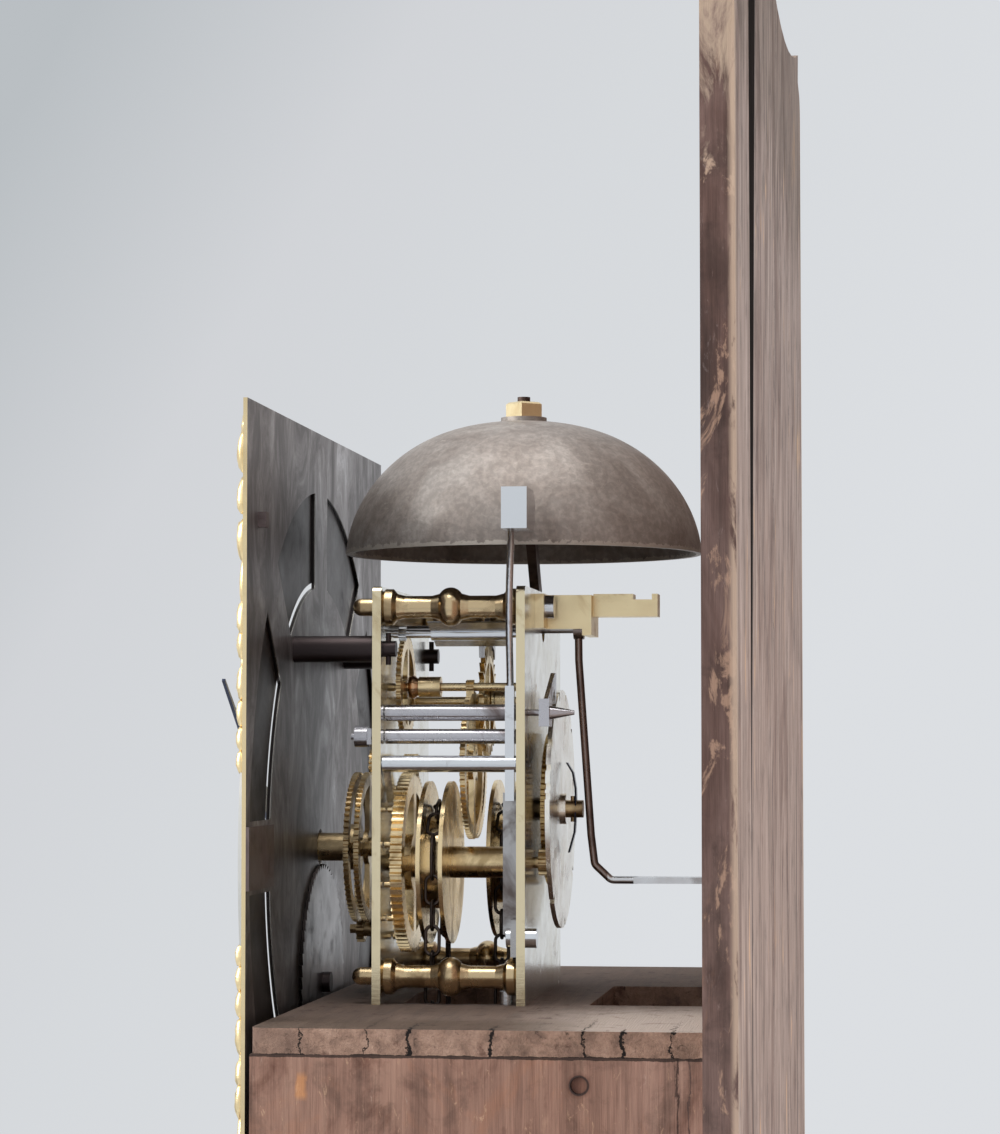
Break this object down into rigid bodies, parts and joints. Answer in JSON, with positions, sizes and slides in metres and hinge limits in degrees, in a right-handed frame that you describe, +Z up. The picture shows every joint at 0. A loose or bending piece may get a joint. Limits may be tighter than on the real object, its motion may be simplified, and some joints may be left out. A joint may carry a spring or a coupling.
{
  "type": "longcase clock",
  "caption": "Weight-driven longcase clock with the hood off: wooden case, seatboard, two-train chain movement, bell, dial and long pendulum.",
  "frame": {"origin": "on the floor, under the middle of the clock's outer box", "axes": "+X to the right as you face the dial, -Y to the front, +Z up"},
  "size_m": [0.546, 0.2294, 1.9673],
  "materials": {
    "wood_back": "weathered, unvarnished",
    "wood_case": "old waxed",
    "wood_seat": "bare, worn",
    "brass": "aged, half polished",
    "brass_dark": "tarnished",
    "plate_brass": "polished",
    "steel": "polished",
    "iron": "dark forged",
    "bell_metal": "dark, mottled",
    "gilt": "gilt cast",
    "silvered": "silvered",
    "blued": "blued",
    "lead": "dull lead"
  },
  "bodies": {
    "case": {"backboard": "wood_back", "backboard_ears": "wood_back", "side_boards": "wood_case", "seatboard": "wood_seat", "trunk_front": "wood_case", "base_box": "wood_case", "skirting": "wood_case", "case_mouldings": "wood_case", "case_hinges": "brass", "front_plate": "plate_brass", "back_plate": "plate_brass", "pillars": "brass", "wheel_posts": "iron", "dial_plate": "brass_dark", "chapter_ring": "silvered", "spandrels": "gilt", "dial_fittings": "iron", "bell": "bell_metal", "bell_stand": "iron", "bell_nut": "brass", "hammer_spring": "steel", "back_cock": "brass", "movement_screws": "iron", "pendulum_bracket": "brass", "chain_loops": "iron", "strike_weight_chain": "iron", "going_weight_chain": "iron", "strike_counter_chain": "iron", "going_counter_chain": "iron"},
    "trunk_door": {"trunk_door": "wood_case", "door_hinges": "brass", "door_lock": "brass"},
    "lock_bolt": {"lock_bolt": "iron"},
    "minute": {"minute_wheel": "brass", "minute_hand": "blued"},
    "going_great": {"going_great_wheel": "brass", "going_chain_wheel": "brass"},
    "second": {"second_wheel": "brass"},
    "escape": {"escape_wheel": "brass"},
    "reverse": {"reverse_wheel": "brass"},
    "hour": {"hour_wheel": "brass", "hour_hand": "blued"},
    "calendar": {"calendar_disc": "brass"},
    "pendulum": {"pendulum_rod": "steel", "pendulum_bob": "brass"},
    "anchor": {"anchor": "iron", "crutch": "iron"},
    "strike_great": {"strike_great_wheel": "brass", "strike_chain_wheel": "brass"},
    "strike_second": {"strike_second_wheel": "brass"},
    "warning": {"warning_wheel": "brass"},
    "fly": {"fly": "brass"},
    "count": {"count_wheel": "brass"},
    "hammer": {"hammer": "steel"},
    "locking": {"locking_lever": "iron"},
    "lifting": {"lifting_lever": "iron"},
    "strike_weight": {"strike_weight": "lead"},
    "strike_counterweight": {"strike_counterweight": "lead"},
    "going_weight": {"going_weight": "lead"},
    "going_counterweight": {"going_counterweight": "lead"}
  },
  "joints": [
    {"name": "trunk_door_swing", "type": "hinge", "parent": "case", "child": "trunk_door", "pos_m": [0.12, -0.0856, 0.935], "axis": [0, 0, 1], "range_deg": [0, 110]},
    {"name": "lock_bolt_slide", "type": "slide", "parent": "trunk_door", "child": "lock_bolt", "axis": [-1, 0, 0], "range_m": [0, 0.01]},
    {"name": "minute_hand_turn", "type": "hinge", "parent": "case", "child": "minute", "pos_m": [0, -0.06, 1.6169], "axis": [0, 1, 0], "continuous": true},
    {"name": "going_great_turn", "type": "hinge", "parent": "case", "child": "going_great", "pos_m": [-0.025, 0, 1.612], "axis": [0, 1, 0], "continuous": true},
    {"name": "second_wheel_turn", "type": "hinge", "parent": "case", "child": "second", "pos_m": [-0.01566, 0, 1.64842], "axis": [0, 1, 0], "continuous": true},
    {"name": "escape_wheel_turn", "type": "hinge", "parent": "case", "child": "escape", "pos_m": [0, 0, 1.67413], "axis": [0, 1, 0], "continuous": true},
    {"name": "reverse_wheel_turn", "type": "hinge", "parent": "case", "child": "reverse", "pos_m": [-0.0087, -0.047, 1.58445], "axis": [0, 1, 0], "continuous": true},
    {"name": "hour_hand_turn", "type": "hinge", "parent": "case", "child": "hour", "pos_m": [0, -0.065, 1.6169], "axis": [0, 1, 0], "continuous": true},
    {"name": "calendar_turn", "type": "hinge", "parent": "case", "child": "calendar", "pos_m": [0, -0.066, 1.564], "axis": [0, 1, 0], "continuous": true},
    {"name": "pendulum_swing", "type": "hinge", "parent": "case", "child": "pendulum", "pos_m": [0, 0.09, 1.702], "axis": [0, 1, 0], "range_deg": [-2.5, 2.5]},
    {"name": "crutch_swing", "type": "hinge", "parent": "case", "child": "anchor", "pos_m": [0, 0, 1.702], "axis": [0, 1, 0], "range_deg": [-2.5, 2.5]},
    {"name": "strike_great_turn", "type": "hinge", "parent": "case", "child": "strike_great", "pos_m": [0.025, 0, 1.612], "axis": [0, 1, 0], "continuous": true},
    {"name": "strike_second_turn", "type": "hinge", "parent": "case", "child": "strike_second", "pos_m": [0.01912, 0, 1.64914], "axis": [0, 1, 0], "continuous": true},
    {"name": "warning_wheel_turn", "type": "hinge", "parent": "case", "child": "warning", "pos_m": [0.02408, 0, 1.67913], "axis": [0, 1, 0], "continuous": true},
    {"name": "fly_turn", "type": "hinge", "parent": "case", "child": "fly", "pos_m": [0.03206, 0, 1.69937], "axis": [0, 1, 0], "continuous": true},
    {"name": "count_wheel_turn", "type": "hinge", "parent": "case", "child": "count", "pos_m": [-0.00198, 0.024, 1.63197], "axis": [0, 1, 0], "continuous": true},
    {"name": "hammer_lift", "type": "hinge", "parent": "case", "child": "hammer", "pos_m": [0.0565, 0, 1.6498], "axis": [0, 1, 0], "range_deg": [0, 8]},
    {"name": "locking_lift", "type": "hinge", "parent": "case", "child": "locking", "pos_m": [0.05, 0, 1.669], "axis": [0, 1, 0], "range_deg": [0, 6]},
    {"name": "lifting_lift", "type": "hinge", "parent": "case", "child": "lifting", "pos_m": [0.05, 0, 1.6601], "axis": [0, 1, 0], "range_deg": [0, 6]},
    {"name": "strike_weight_drop", "type": "slide", "parent": "case", "child": "strike_weight", "axis": [0, 0, -1], "range_m": [0, 0.42], "deforming": ["strike_weight_chain"]},
    {"name": "strike_counterweight_rise", "type": "slide", "parent": "case", "child": "strike_counterweight", "axis": [0, 0, 1], "range_m": [0, 0.42], "deforming": ["strike_counter_chain"]},
    {"name": "going_weight_drop", "type": "slide", "parent": "case", "child": "going_weight", "axis": [0, 0, -1], "range_m": [0, 0.42], "deforming": ["going_weight_chain"]},
    {"name": "going_counterweight_rise", "type": "slide", "parent": "case", "child": "going_counterweight", "axis": [0, 0, 1], "range_m": [0, 0.42], "deforming": ["going_counter_chain"]}
  ],
  "couplings": [
    {"joint": "minute_hand_turn", "follows": "second_wheel_turn", "ratio": -0.22222},
    {"joint": "going_great_turn", "follows": "second_wheel_turn", "ratio": -0.11111},
    {"joint": "escape_wheel_turn", "follows": "second_wheel_turn", "ratio": -13.333},
    {"joint": "reverse_wheel_turn", "follows": "second_wheel_turn", "ratio": 0.11111},
    {"joint": "hour_hand_turn", "follows": "second_wheel_turn", "ratio": -0.018519},
    {"joint": "crutch_swing", "follows": "pendulum_swing", "ratio": 1},
    {"joint": "strike_second_turn", "follows": "warning_wheel_turn", "ratio": -0.085714},
    {"joint": "strike_great_turn", "follows": "warning_wheel_turn", "ratio": 0.0095238},
    {"joint": "fly_turn", "follows": "warning_wheel_turn", "ratio": -8.6667},
    {"joint": "count_wheel_turn", "follows": "warning_wheel_turn", "ratio": -0.0014652},
    {"joint": "strike_counterweight_rise", "follows": "strike_weight_drop", "ratio": 1},
    {"joint": "going_counterweight_rise", "follows": "going_weight_drop", "ratio": 1}
  ]
}
